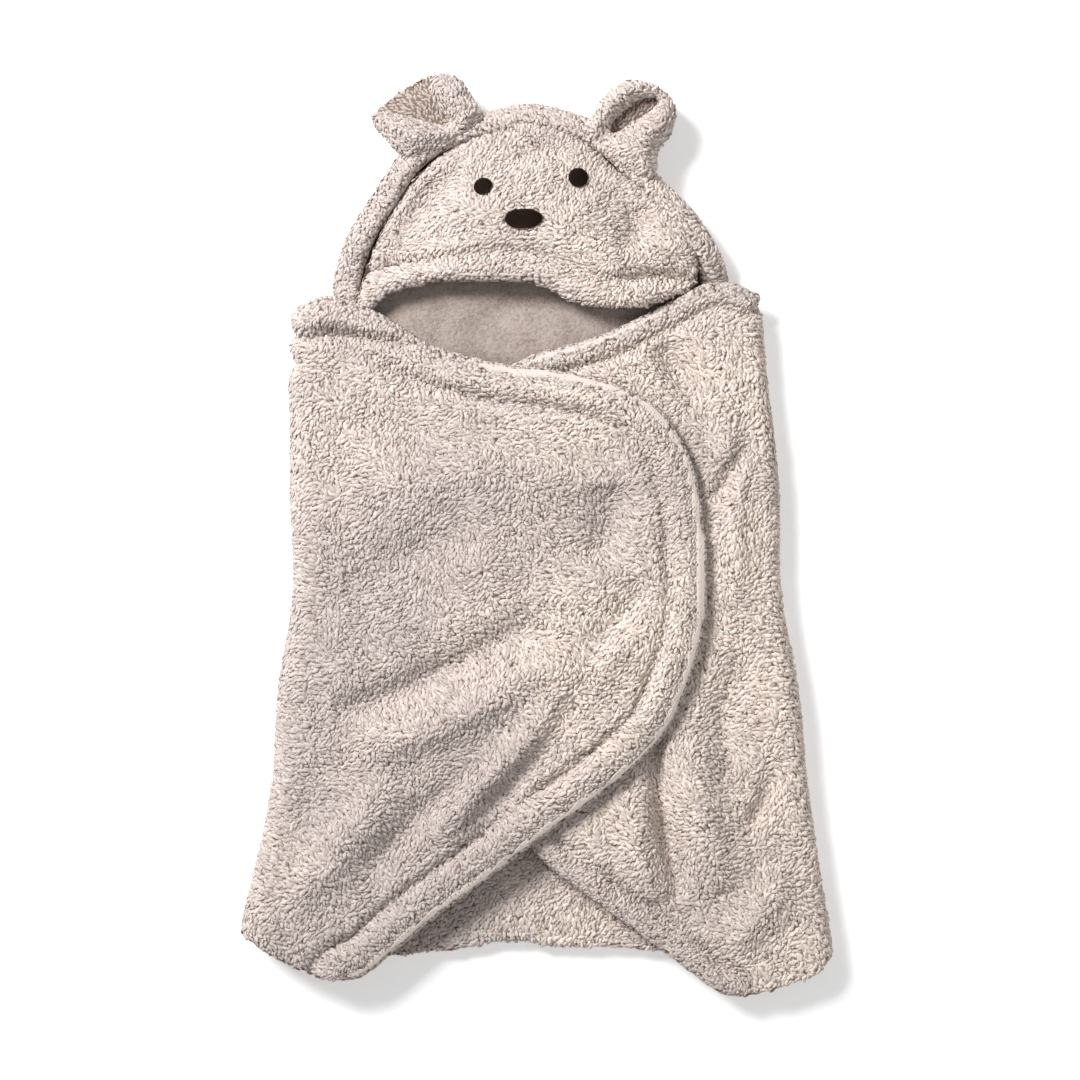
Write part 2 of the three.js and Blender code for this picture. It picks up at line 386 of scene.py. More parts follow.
def folds_height(points, folds, place):
    """The height of a list of folds, each (height, half width, *route) in mm, by place(x, y)."""
    total = np.zeros(len(points))
    for height, width, *route in folds:
        line = smooth_line([place(*corner) for corner in route])
        distance, share = line_distance(points[:, :2], line)
        fade = np.sqrt(np.clip(np.sin(math.pi * share), 0, 1))
        total += height * MM * bell(distance, width * MM) * fade
    return total


def wrap_round(points, fold):
    """Cloth past the fold's line goes round it, and comes in again underneath."""
    depth = fold.depth(points)
    radius = points[:, 2] - fold.height
    past = np.clip(-depth, 0, None)
    middle = 0.8 * fold.height
    angle = np.minimum(past / middle, math.pi)
    under = np.clip(past - math.pi * middle, 0, None)
    turned = points.copy()
    out = radius * np.sin(angle) - under
    turned[:, 2] = fold.height + radius * np.cos(angle)
    shift = np.where(past > 0, -depth - out, 0)
    turned[:, :2] += shift[:, None] * fold.inward
    return turned


def normals_of(piece):
    """Each point's normal."""
    normals = np.empty(len(piece.data.vertices) * 3, dtype=np.float32)
    piece.data.vertices.foreach_get("normal", normals)
    return normals.reshape(-1, 3)


def lining_of(cloth, name, offset):
    """A thin lining that follows the inner side of a cloth, which its attribute inner marks."""
    bm = bmesh.new()
    bm.from_mesh(cloth.data)
    layer = bm.verts.layers.float["inner"]
    outer = [f for f in bm.faces if min(v[layer] for v in f.verts) < 0.5]
    bmesh.ops.delete(bm, geom=outer, context="FACES")
    for v in bm.verts:
        v.co += v.normal * offset
    bmesh.ops.solidify(bm, geom=bm.faces[:], thickness=-sizes().lining)
    bmesh.ops.recalc_face_normals(bm, faces=bm.faces)
    soften(bm)
    lining = new_piece(name, bm)
    dress(lining, lining_finish())
    return lining


def smooth_strip(name, cloth, edge, width, on_strip):
    """The smooth strip that binds a free edge: the cloth's rim, grown outward a little."""
    points = get_points(cloth.data)
    gap, run = line_distance(points[:, :2], edge)
    keep = (gap < width) & on_strip(points, run)
    bm = bmesh.new()
    bm.from_mesh(cloth.data)
    gone = [f for f in bm.faces if not all(keep[v.index] for v in f.verts)]
    bmesh.ops.delete(bm, geom=gone, context="FACES")
    for v in bm.verts:
        v.co += v.normal * 0.1 * MM
    bmesh.ops.solidify(bm, geom=bm.faces[:], thickness=1.2 * MM)
    bmesh.ops.recalc_face_normals(bm, faces=bm.faces)
    relax(bm, 0.4)
    soften(bm)
    strip = new_piece(name, bm)
    dress(strip, smooth_edge_finish())
    return strip


# ------------------------------------------------------------------ materials


class Flow:
    """A socket's output, for writing shader maths as expressions."""

    def __init__(self, finish, socket):
        self.finish = finish
        self.socket = socket

    def math(self, operation, *values):
        node = self.finish.node("ShaderNodeMath", {"operation": operation}, dict(enumerate(values)))
        return Flow(self.finish, node.outputs[0])

    def __add__(self, other):
        return self.math("ADD", self, other)

    __radd__ = __add__

    def __sub__(self, other):
        return self.math("SUBTRACT", self, other)

    def __rsub__(self, other):
        return self.math("SUBTRACT", other, self)

    def __mul__(self, other):
        return self.math("MULTIPLY", self, other)

    __rmul__ = __mul__

    def clamp(self):
        node = self.finish.node("ShaderNodeClamp", {}, {0: self})
        return Flow(self.finish, node.outputs[0])


def add_node(tree, kind, settings, sockets):
    """A node with its settings, and with values or links for its sockets, by name or by place."""
    node = tree.nodes.new(kind)
    for name, value in (settings or {}).items():
        setattr(node, name, value)
    for name, value in (sockets or {}).items():
        matches = [s for s in node.inputs if s.name == name and s.enabled]
        socket = node.inputs[name] if isinstance(name, int) else matches[0]
        source = value.socket if isinstance(value, Flow) else value
        if isinstance(source, bpy.types.NodeSocket):
            tree.links.new(source, socket)
        else:
            socket.default_value = source
    return node


class Finish:
    """A material under construction."""

    def __init__(self, name):
        self.material = bpy.data.materials.new(name)
        self.material.use_nodes = True
        self.tree = self.material.node_tree
        self.tree.nodes.clear()

    def node(self, kind, settings=None, sockets=None):
        return add_node(self.tree, kind, settings, sockets)

    def out(self, node, name=0):
        return Flow(self, node.outputs[name])

    def place(self):
        return self.out(self.node("ShaderNodeTexCoord"), "Object")

    def noise(self, scale, detail=3.0, roughness=0.6):
        return self.out(self.node("ShaderNodeTexNoise", {}, {
            "Vector": self.place(), "Scale": scale, "Detail": detail, "Roughness": roughness}))

    def attribute(self, name):
        return self.out(self.node("ShaderNodeAttribute", {"attribute_name": name}), "Fac")

    def mix(self, amount, first, second):
        node = self.node("ShaderNodeMix", {"data_type": "RGBA"})
        colour_inputs = [s for s in node.inputs if s.type == "RGBA"]
        for socket, value in [(node.inputs[0], amount), *zip(colour_inputs, (first, second))]:
            if isinstance(value, Flow):
                self.tree.links.new(value.socket, socket)
            elif isinstance(value, (int, float)):
                socket.default_value = value
            else:
                socket.default_value = (*value[:3], 1)
        return Flow(self, [s for s in node.outputs if s.type == "RGBA"][0])

    def bump(self, height, distance, strength):
        return self.out(self.node("ShaderNodeBump", {}, {
            "Height": height, "Distance": distance, "Strength": strength}))

    def close(self, colour, roughness, normal=None, sheen=0.0, glow=0.0):
        sockets = {"Base Color": colour, "Roughness": roughness, "Sheen Weight": sheen,
                   "Specular IOR Level": 0.2, "Emission Color": colour, "Emission Strength": glow}
        if normal:
            sockets["Normal"] = normal
        shader = self.node("ShaderNodeBsdfPrincipled", {}, sockets)
        self.node("ShaderNodeOutputMaterial", {}, {"Surface": self.out(shader)})
        return self.material


def material_once(build):
    """Makes each material the first time that it is asked for."""
    def get():
        name = build.__name__
        return bpy.data.materials.get(name) or build(Finish(name))
    return get


@material_once
def pile_finish(finish):
    """Curls: dark at the roots, light at the tips, with cooler patches and curl to curl change."""
    tip = finish.attribute("tip")
    tone = finish.attribute("tone")
    across = finish.out(finish.node("ShaderNodeSeparateXYZ", {}, {0: finish.place()}))
    # The x term is painted light: it lightens and warms the pile towards the right and greys it towards the
    # left; the noise gives cool patches at random.
    patches = ((finish.noise(5.5, 2.0) - 0.5) * 3.2 + across * 1.6 + 0.45).clamp()
    light = finish.mix(patches, colours().cool, colours().tip)
    light = finish.mix((tone * 0.35).clamp(), light, colours().root)
    fibres = finish.noise(620, 2.0, 0.7)
    # Painted shade: low down on each curl (by its height, tip) the colour turns to the root colour, so the
    # gaps between curls look dark; shorter curls get less of it.
    short = 1 - finish.attribute("pile_size")
    rise = ((tip - 0.565) * 5.5 + short * 0.8 + (fibres - 0.5) * 0.35).clamp()
    colour = finish.mix(rise, colours().root, light)
    return finish.close(colour, 0.95, finish.bump(fibres, 0.0012, 0.6), sheen=0.12)


@material_once
def cloth_finish(finish):
    """The backing that the curls grow from, seen only between them."""
    clumps = finish.node("ShaderNodeTexVoronoi", {"feature": "F1"}, {
        "Vector": finish.place(), "Scale": 330.0})
    depth = finish.out(clumps, "Distance")
    # Painted shade: the root colour fills the cracks at the clumps' edges.
    colour = finish.mix(((0.85 - depth) * 2.2).clamp(), colours().root, colours().cool)
    return finish.close(colour, 0.95, finish.bump(1 - depth, 0.002, 0.8))


@material_once
def smooth_edge_finish(finish):
    """Short brushed nap of the edge strips."""
    nap = finish.noise(900, 3.0, 0.7)
    drift = finish.noise(45, 2.0)
    colour = finish.mix((drift * 0.5 + nap * 0.22 - 0.16).clamp(), colours().hem, colours().lining)
    return finish.close(colour, 0.9, finish.bump(nap + drift * 0.6, 0.0008, 0.55), sheen=0.15)


@material_once
def lining_finish(finish):
    """Smooth knitted lining with a short mottled nap."""
    nap = finish.noise(330, 4.0, 0.75)
    drift = finish.noise(60, 3.0)
    dark = ((nap - 0.4) * 2.6 + (drift - 0.5) * 1.2).clamp()
    colour = finish.mix(dark * 0.7, colours().lining, colours().root)
    return finish.close(colour, 0.92, finish.bump(nap, 0.0018, 0.9), sheen=0.1)


@material_once
def ear_inside_finish(finish):
    """The darker pile in the hollow of an ear."""
    tip = finish.attribute("tip")
    fibres = finish.noise(620, 2.0, 0.7)
    rise = ((tip - 0.42) * 3 + (fibres - 0.5) * 0.4).clamp()
    colour = finish.mix(rise * 0.8 + 0.2, colours().root, colours().lining)
    return finish.close(colour, 0.95, finish.bump(fibres, 0.0012, 0.6), sheen=0.1)


@material_once
def stitching_finish(finish):
    """Satin stitch thread."""
    strands = finish.node("ShaderNodeTexWave", {"bands_direction": "Y"}, {
        "Vector": finish.place(), "Scale": 900.0, "Distortion": 1.5})
    strand_and_painted_highlight = finish.out(strands, 1)
    # Painted highlight: the lighter second colour follows the strands.
    colour = finish.mix(strand_and_painted_highlight * 0.5, colours().stitching, (0.035, 0.017, 0.01))
    return finish.close(colour, 0.5, finish.bump(strand_and_painted_highlight, 0.0003, 0.5))


@material_once
def floor_finish(finish):
    """Plain pale floor."""
    speckle = finish.noise(3.0, 2.0)
    colour = finish.mix(speckle * 0.1, colours().floor, (0.85, 0.85, 0.85))
    return finish.close(colour, 0.8, glow=0.3)


def dress(piece, material):
    piece.data.materials.clear()
    piece.data.materials.append(material)


# ------------------------------------------------------------------ pile


def curl(name, bend, twist):
    """One curl of pile: a bent lock whose root is dark and whose tip is light."""
    bm = bmesh.new()
    bmesh.ops.create_uvsphere(bm, u_segments=5, v_segments=4, radius=0.5)
    turn_about(bm, bm.verts, math.pi / 2, "Y")
    length, width = sizes().curl_length, sizes().curl_width
    for v in bm.verts:
        share = v.co.x
        v.co.y += bend * (share * share - 0.12)
        v.co.z += twist * share
        v.co = Vector((v.co.x * length, v.co.y * width, (v.co.z - 0.2) * sizes().curl_height))
    low = min(v.co.z for v in bm.verts)
    high = max(v.co.z for v in bm.verts)
    tip = bm.verts.layers.float.new("tip")
    for v in bm.verts:
        v[tip] = (v.co.z - low) / (high - low)
    soften(bm)
    mesh = bpy.data.meshes.new(name)
    bm.to_mesh(mesh)
    bm.free()
    mesh.materials.append(pile_finish())
    return bpy.data.objects.new(name, mesh)


def curl_kinds():
    """The few curls that the pile is grown from."""
    kinds = bpy.data.collections.get("curls")
    if kinds is None:
        kinds = bpy.data.collections.new("curls")
        for i, (bend, twist) in enumerate([(1.7, 0.35), (-1.7, 0.35), (1.0, -0.3), (-1.2, 0.5)]):
            kinds.objects.link(curl(f"curl_{i}", bend, twist))
    return kinds


class Scatter:
    """The node tree that grows curls over the part of a cloth that its attribute pile marks."""

    def __init__(self, spacing, seed, lie):
        self.tree = bpy.data.node_groups.new("pile", "GeometryNodeTree")
        for way in ("INPUT", "OUTPUT"):
            self.tree.interface.new_socket("Geometry", in_out=way, socket_type="NodeSocketGeometry")
        self.tree.is_modifier = True
        start = self.node("NodeGroupInput")
        weight = self.named("pile")
        points = self.node("GeometryNodeDistributePointsOnFaces", {"distribute_method": "POISSON"}, {
            "Mesh": start.outputs[0], "Distance Min": spacing, "Density Max": 2.4 / spacing**2,
            "Density Factor": weight, "Seed": seed})
        flow = self.node("ShaderNodeTexNoise", {}, {"Scale": 9.0, "Detail": 1.0})
        drift = self.math("MULTIPLY", flow.outputs[0], 9.0)
        angle = self.math("ADD", drift, self.random(-0.6, 0.6, seed + 1))
        turn = self.turn_by(points.outputs["Rotation"], z=self.math("ADD", angle, lie))
        tilt = self.turn_by(turn, y=self.random(-0.32, 0.02, seed + 2),
                            x=self.random(-0.3, 0.3, seed + 3))
        size = self.math("MULTIPLY", self.random(0.72, 1.25, seed + 4), self.named("pile_size"))
        kinds = self.node("GeometryNodeCollectionInfo", {}, {
            "Collection": curl_kinds(), "Separate Children": True, "Reset Children": True})
        curls = self.node("GeometryNodeInstanceOnPoints", {}, {
            "Points": points.outputs["Points"], "Instance": kinds.outputs[0],
            "Pick Instance": True, "Rotation": tilt, "Scale": size})
        tone = self.node("GeometryNodeStoreNamedAttribute",
                         {"data_type": "FLOAT", "domain": "INSTANCE"}, {
            "Geometry": curls.outputs[0], "Name": "tone", "Value": self.random(0, 1, seed + 5)})
        whole = self.node("GeometryNodeRealizeInstances", {}, {"Geometry": tone.outputs[0]})
        self.node("NodeGroupOutput", {}, {0: whole.outputs[0]})

    def node(self, kind, settings=None, sockets=None):
        return add_node(self.tree, kind, settings, sockets)

    def named(self, name):
        node = self.node("GeometryNodeInputNamedAttribute", {"data_type": "FLOAT"}, {"Name": name})
        return [s for s in node.outputs if s.enabled][0]

    def random(self, low, high, seed):
        node = self.node("FunctionNodeRandomValue", {"data_type": "FLOAT"}, {
            "Min": low, "Max": high, "Seed": seed})
        return [s for s in node.outputs if s.enabled][0]

    def math(self, operation, first, second):
        node = self.node("ShaderNodeMath", {"operation": operation}, {0: first, 1: second})
        return node.outputs[0]

    def turn_by(self, rotation, **angles):
        axes = {axis.upper(): angle for axis, angle in angles.items()}
        euler = self.node("ShaderNodeCombineXYZ", {}, axes)
        turn = self.node("FunctionNodeEulerToRotation", {}, {0: euler.outputs[0]})
        both = self.node("FunctionNodeRotateRotation", {"rotation_space": "LOCAL"}, {
            0: rotation, 1: turn.outputs[0]})
        return both.outputs[0]


MOST_CURLS = 6200        # in one piece of pile, so that it stays under 200,000 triangles
KEPT_CURLS = 0.75        # of one curl to each square of the spacing
MARKED = 0.3             # the least mark at which a point grows pile


def grow_pile(cloth, spacing=None, seed=1, lie=0.0):
    """Grows the pile of a cloth, in as many level bands as its size needs."""
    spacing = spacing or sizes().curl_spacing
    points = get_points(cloth.data)
    weight = np.empty(len(points), dtype=np.float32)
    cloth.data.attributes["pile"].data.foreach_get("value", weight)
    area = sum(p.area for p in cloth.data.polygons
               if min(weight[v] for v in p.vertices) > MARKED)
    bands = max(1, math.ceil(KEPT_CURLS * area / spacing**2 / MOST_CURLS))
    grown = points[weight > MARKED]
    limits = np.quantile(grown[:, 1], np.linspace(0, 1, bands + 1))
    limits[0] -= 1
    limits[-1] += 1
    piles = []
    base = cloth.name.replace("_cloth", "")
    for i in range(bands):
        bm = bmesh.new()
        bm.from_mesh(cloth.data)
        outside = [f for f in bm.faces
                   if not limits[i] <= f.calc_center_median().y < limits[i + 1]]
        bmesh.ops.delete(bm, geom=outside, context="FACES")
        name = f"{base}_pile" + (f"_{i + 1}" if bands > 1 else "")
        piece = new_piece(name, bm)
        grow = piece.modifiers.new("Pile", "NODES")
        grow.node_group = Scatter(spacing, seed * 10 + i, lie).tree
        apply_modifiers(piece)
        piles.append(piece)
    return piles


def grow_under_pile(cloth, marked, seed):
    """Sparser pile where the cloth lies on the surface, none of it lower than the surface."""
    store(cloth, "pile", marked)
    piles = grow_pile(cloth, spacing=sizes().under_spacing, seed=seed)
    for piece in piles:
        points = get_points(piece.data)
        points[:, 2] = np.maximum(points[:, 2], LEAST_HEIGHT)
        set_points(piece.data, points)
    return piles


# ------------------------------------------------------------------ riding and hiding


def settle(pieces, ride, nodes=()):
    """Puts pieces on their body, names their finish and the CAD nodes they stand for."""
    for piece in pieces:
        ride(piece)
    if nodes:
        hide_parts(*nodes)


def rider(body):
    return lambda piece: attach(piece, body)


def fold_rider(fold):
    """Cloth that bends from the back, round a side fold, to its flap."""
    climb = math.radians(60)
    length = fold.height * math.sin(climb)
    start = Vector((*fold.origin, fold.height * 0.5))
    step = Vector((*(fold.inward * math.cos(climb)), math.sin(climb)))
    return lambda piece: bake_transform(piece, "back", fold.body, start=tuple(start),
                                  end=tuple(start + step * length))


def neck_rider(piece):
    """Cloth that bends from the back to the hood."""
    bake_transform(piece, "back", "hood",
             start=(0, SHOULDER_Y + NECK_BEND[0], 0), end=(0, SHOULDER_Y + NECK_BEND[1], 0))


# ------------------------------------------------------------------ pieces


def make_back():
    """Fleece back with the turned hem at the feet, and its lining."""
    left, right = [[fold.at(2 * MM, SHOULDER_Y - 4 * MM), fold.at(-8 * MM, SHOULDER_Y - 20 * MM),
                    fold.at(-8 * MM, FOOT_Y + 24 * MM), fold.at(2 * MM, FOOT_Y)]
                   for fold in (LEFT_FOLD, RIGHT_FOLD)]
    foot = [(-0.55, -0.012), (-0.28, -0.004), (-0.1, 0.01), (0.1, 0.0), (0.35, -0.003), (0.6, -0.012)]
    lower = smooth_line([left[-1], *[on_body(*place) for place in foot], right[-1]])
    outline = np.vstack([on_hood(-158, 12), left[:-1], lower, right[-2::-1], on_hood(158, 12)])
    cloth = slab("back_cloth", outline, CLOTH_LOW, CLOTH_LOW + sizes().cloth)
    points = get_points(cloth.data)
    top = points[:, 2] > CLOTH_LOW + sizes().cloth / 2
    gap, _ = line_distance(points[:, :2], lower)
    turned = gap < BACK_HEM
    rise = 5 * MM * (1 - ease(gap / BACK_HEM))
    points[:, 2] += top * (rise + 0.7 * MM * soft_noise(points, 0.09, 3))
    points = side_waves(points, LEFT_FOLD, LEFT_WAVES)
    points = side_waves(points, RIGHT_FOLD, RIGHT_WAVES)
    set_points(cloth.data, points)
    store(cloth, "inner", top & ~turned)
    store(cloth, "pile", top & turned & (points[:, 1] < FOOT_Y + 120 * MM))
    store(cloth, "pile_size", np.ones(len(points)))
    dress(cloth, cloth_finish())
    hem_pile = grow_pile(cloth, seed=2)
    for piece in hem_pile:
        piece.name = piece.name.replace("back_pile", "back_hem_pile")
    under_pile = grow_under_pile(cloth, ~top, seed=3)
    lining = lining_of(cloth, "back_lining_cloth", 0.4 * MM)
    settle([cloth, *under_pile], neck_rider, ["back_panel", "back_hem"])
    settle([lining], neck_rider, ["back_lining", "neck_band"])
    settle(hem_pile, rider("back"))


# How the cloth past a side fold is cut: share of its reach, rise at the foot, drop at the shoulder
FOLD_ENDS = [(0, 3, 0.5), (0.3, 6, 3), (0.5, 11, 9), (1, 17, 16)]


def make_flap(name, fold, free_edge, lower_edge, base, hem, folds, waves, seed, lift):
    """A front flap with its side fold: fleece with a hem groove, a smooth edge strip and lining."""
    side = math.copysign(1, fold.inward[0])
    edge = smooth_line([on_body(*place) for place in free_edge])
    lower = smooth_line([edge[-1], *[on_body(*place) for place in lower_edge]])[1:]
    reach = -(0.8 * math.pi * fold.height - 3 * MM)
    foot, shoulder = lower[-1][1], edge[0][1]
    outline = np.vstack([
        edge, lower,
        [fold.at(reach * share, foot + rise * MM) for share, rise, _ in FOLD_ENDS],
        [fold.at(reach * share, shoulder - drop * MM) for share, _, drop in reversed(FOLD_ENDS)]])
    low = base + sizes().lining + 0.8 * MM
    cloth = slab(f"{name}_cloth", outline, low, low + sizes().cloth)
    points = get_points(cloth.data)
    outer = (points[:, 2] - low) / sizes().cloth
    gap, run = line_distance(points[:, :2], edge)
    height = 2.3 * folds_height(points, folds, on_front)
    broad, fine = soft_noise(points, 0.13, seed), soft_noise(points, 0.05, seed + 1)
    height += 1.1 * MM * broad + 0.6 * MM * fine
    near = 1 - ease(-fold.depth(points) / (10 * MM))
    inland = ease((fold.depth(points) + 5 * MM) / (40 * MM))
    height *= near * inland
    roll = np.where(gap < hem, np.sin(math.pi * np.clip(gap / hem, 0, 1)), 0) * 2.6 * MM
    groove = 6 * MM * bell(gap - hem, 5 * MM) * (0.8 + 0.3 * soft_noise(points, 0.08, seed + 2))
    droop = lift * (1 - ease(gap / (26 * MM)))
    points[:, 2] += height + np.clip(outer, 0, 1) * (roll - groove) - droop
    points = side_waves(wrap_round(points, fold), fold, waves)
    set_points(cloth.data, points)
    bound = (gap < 3 * lift) & (run > 0.2)
    near_edge = 0.38 + 0.62 * ease((gap - 7 * MM) / (13 * MM))
    store(cloth, "inner", (outer < 0.5) & (gap > 6 * MM))
    store(cloth, "pile", (outer > 0.25) & ~bound)
    store(cloth, "pile_size", np.where(np.abs(gap - hem) < 3 * MM, 0.8, near_edge))
    dress(cloth, cloth_finish())
    piles = grow_pile(cloth, seed=seed, lie=side * 0.6)
    lining = lining_of(cloth, f"{name}_lining_cloth", 0.3 * MM)
    strip = smooth_strip(f"{name}_edge_strip", cloth, edge, 13 * MM, lambda _, run: run > 0.18)
    fold_node = "left_side_fold" if side > 0 else "right_side_fold"
    settle([cloth, *piles], fold_rider(fold), [f"{name}_panel", fold_node])
    settle([lining], fold_rider(fold), [f"{name}_lining"])
    settle([strip], rider(fold.body), [f"{name}_hem"])


def make_left_flap():
    """The upper flap, wrapped over from the viewer's left."""
    free_edge = [(-0.94, 1.014), (-0.82, 1.018), (-0.66, 0.995), (-0.44, 0.945), (-0.14, 0.915),
                 (0.10, 0.905), (0.34, 0.882), (0.50, 0.845), (0.61, 0.78), (0.655, 0.70),
                 (0.66, 0.60), (0.64, 0.51), (0.57, 0.42), (0.46, 0.33), (0.27, 0.255),
                 (0.08, 0.195), (-0.18, 0.107), (-0.33, 0.057), (-0.47, 0.003), (-0.565, -0.035),
                 (-0.62, -0.047)]
    lower_edge = [(-0.70, -0.044), (-0.80, -0.026), (-0.93, 0.006)]
    folds = [
        (-4, 13, (-177, -149), (-110, -128), (17, -64)),
        (4, 16, (-150, -185), (-60, -150), (30, -95)),
        (-6, 13, (-60, -255), (5, -170), (93, -36)),
        (6, 15, (-30, -215), (25, -135), (80, -75)),
        (4, 14, (-95, -255), (-40, -205), (20, -150)),
        (-3.5, 14, (-150, -290), (-90, -230), (-40, -190)),
        (-4, 17, (60, 45), (62, 10), (48, -20)),
        (-5, 5, (-196, 178), (-157, 172), (-105, 160)),
        (2.5, 26, (-160, 40), (-60, 58), (30, 50)),
        (-2.5, 22, (-170, -40), (-110, -20), (-50, 20)),
        (3, 20, (-215, -300), (-170, -270), (-120, -200)),
    ]
    make_flap("left_wrap", LEFT_FOLD, free_edge, lower_edge, LEFT_BASE, LEFT_HEM, folds,
              LEFT_WAVES, seed=5, lift=2.0 * MM)


def make_right_flap():
    """The under flap, wrapped over from the viewer's right."""
    free_edge = [(0.93, 1.035), (0.85, 1.045), (0.72, 1.04), (0.54, 1.008), (0.36, 0.975),
                 (0.19, 0.952), (-0.07, 0.922), (-0.22, 0.87), (-0.30, 0.77), (-0.32, 0.60),
                 (-0.29, 0.42), (-0.19, 0.26), (0.0, 0.145), (0.23, 0.065), (0.41, 0.003),
                 (0.57, -0.055), (0.635, -0.074)]
    lower_edge = [(0.70, -0.075), (0.80, -0.062), (0.92, -0.042), (0.965, -0.03)]
    folds = [
        (-7, 8, (98, -160), (108, -240), (124, -310)),
        (5, 18, (128, -170), (140, -235), (160, -300)),
        (4, 12, (80, -215), (85, -260), (100, -310)),
        (-4.5, 9, (196, 90), (172, 60), (154, 30)),
        (-4, 10, (212, -190), (196, -225), (178, -250)),
        (-5, 13, (104, 165), (122, 140), (140, 108)),
        (3, 16, (160, 120), (175, 40), (180, -60)),
        (-3, 13, (175, -100), (160, -160), (170, -220)),
        (3, 15, (215, -280), (190, -320), (160, -350)),
    ]
    make_flap("right_wrap", RIGHT_FOLD, free_edge, lower_edge, RIGHT_BASE, RIGHT_HEM, folds,
              RIGHT_WAVES, seed=7, lift=1.0 * MM)


# Lines on the hood, in millimetres from the middle of its base
HOOD_OUTER = [(-162, -12), (-169, 12), (-162, 40), (-152, 64), (-133, 93), (-115, 121), (-98, 138),
              (-68, 153), (-36, 162), (-1, 169), (38, 160), (61, 149), (87, 128), (108, 107),
              (136, 80), (157, 49), (168, 24), (168, -6)]
FACE_SEAM = [(-150, -6), (-146, 12), (-140, 30), (-133, 50), (-122, 74), (-108, 95), (-90, 115),
             (-71, 130), (-48, 145), (-24, 154), (4, 157), (38, 145), (60, 128), (77, 112),
             (97, 99), (114, 87), (129, 68), (139, 51), (146, 28)]
LIP = [(-150, -14), (-135, -9), (-118, 4), (-96, 10), (-70, 14), (-38, 15), (-8, 14), (11, 9),
       (28, 1), (46, -5), (68, -8), (92, -7), (115, 0), (140, 10)]
HEM_CREASE = [(-140, 28), (-94, 33), (-39, 42), (8, 38), (53, 21), (81, 17), (110, 20), (146, 20)]


# The half width and half height of each patch of stitching, its tilt and how square it is
STITCHING = {
    "eye_left": (8.2 * MM, 7.2 * MM, 0.5, 2.0),
    "eye_right": (8.6 * MM, 8.6 * MM, 0.1, 2.0),
    "nose": (16.5 * MM, 8.6 * MM, 0.03, 2.1),
}


def hood_line(points):
    """A smooth open line on the hood."""
    return smooth_line([on_hood(*p) for p in points])


def make_hood_back():
    """The hood's back, its raised rim and the lining that the face opening shows."""
    outer = hood_line(HOOD_OUTER)
    cloth = slab("hood_back_cloth", outer, CLOTH_LOW, CLOTH_LOW + sizes().cloth)
    points = get_points(cloth.data)
    top = points[:, 2] > CLOTH_LOW + sizes().cloth / 2
    store(cloth, "pile_size", np.ones(len(points)))
    dress(cloth, cloth_finish())
    piles = grow_under_pile(cloth, ~top, seed=11)
    settle([cloth, *piles], neck_rider, ["hood_back_panel"])

    lining_outline = hood_line([(-134, -70), (-138, 10), (-128, 50), (-104, 95), (-70, 125), (0, 140),
                                (62, 120), (100, 90), (128, 50), (136, 10), (132, -70)])
    base = BACK_TOP + 1.5 * MM
    lining = slab("hood_lining_cloth", lining_outline, base, base + 3.2 * MM, voxel=FINE_VOXEL)
    points = get_points(lining.data)
    folds = [(-3, 12, (-60, -30), (-10, 0), (60, 8)), (2.5, 14, (-100, 20), (-60, 0), (-40, -30))]
    waves = folds_height(points, folds, on_hood) * 0.8
    points[:, 2] += 2.0 * MM * soft_noise(points, 0.11, 21) + waves
    points[:, 2] -= 5 * MM * (1 - ease((points[:, 1] - HOOD_Y + 70 * MM) / (30 * MM)))
    set_points(lining.data, points)
    dress(lining, lining_finish())
    settle([lining], neck_rider, ["hood_back_lining"])


def make_hood_rim():
    """The rim strip that joins the hood's back to its face."""
    outer = hood_line(HOOD_OUTER)
    inner = hood_line([(x * 0.86, y * 0.875 if y > 0 else y) for x, y in HOOD_OUTER])
    ring = np.vstack([outer, inner[::-1]])
    low, high = 3 * MM, FACE_BASE + 9 * MM
    rim = slab("hood_rim_cloth", ring, low, high, rounds=5)
    points = get_points(rim.data)
    gap, _ = line_distance(points[:, :2], outer)
    tuck = ease((points[:, 1] - HOOD_Y) / (60 * MM))
    share = (points[:, 2] - low) / (high - low)
    low_corner = np.where(points[:, 0] > HOOD_X, 0.42 + 0.58 * tuck, 0.7 + 0.3 * tuck)
    points[:, 2] = low + (points[:, 2] - low) * low_corner
    points[:, 2] -= np.clip(share, 0, 1) * 5 * MM * (1 - ease(gap / (16 * MM)))
    points[:, 2] += 1.2 * MM * soft_noise(points, 0.06, 9) * share
    set_points(rim.data, points)
    inner_gap, _ = line_distance(points[:, :2], inner)
    facing_out = normals_of(rim)[:, 2] > -0.6
    store(rim, "pile", (inner_gap > 3 * MM) & (points[:, 2] > 4 * MM) & facing_out)
    store(rim, "pile_size", np.full(len(points), 0.9))
    dress(rim, cloth_finish())
    piles = grow_pile(rim, seed=13, lie=1.2)
    settle([rim, *piles], rider("hood"), ["hood_rim"])


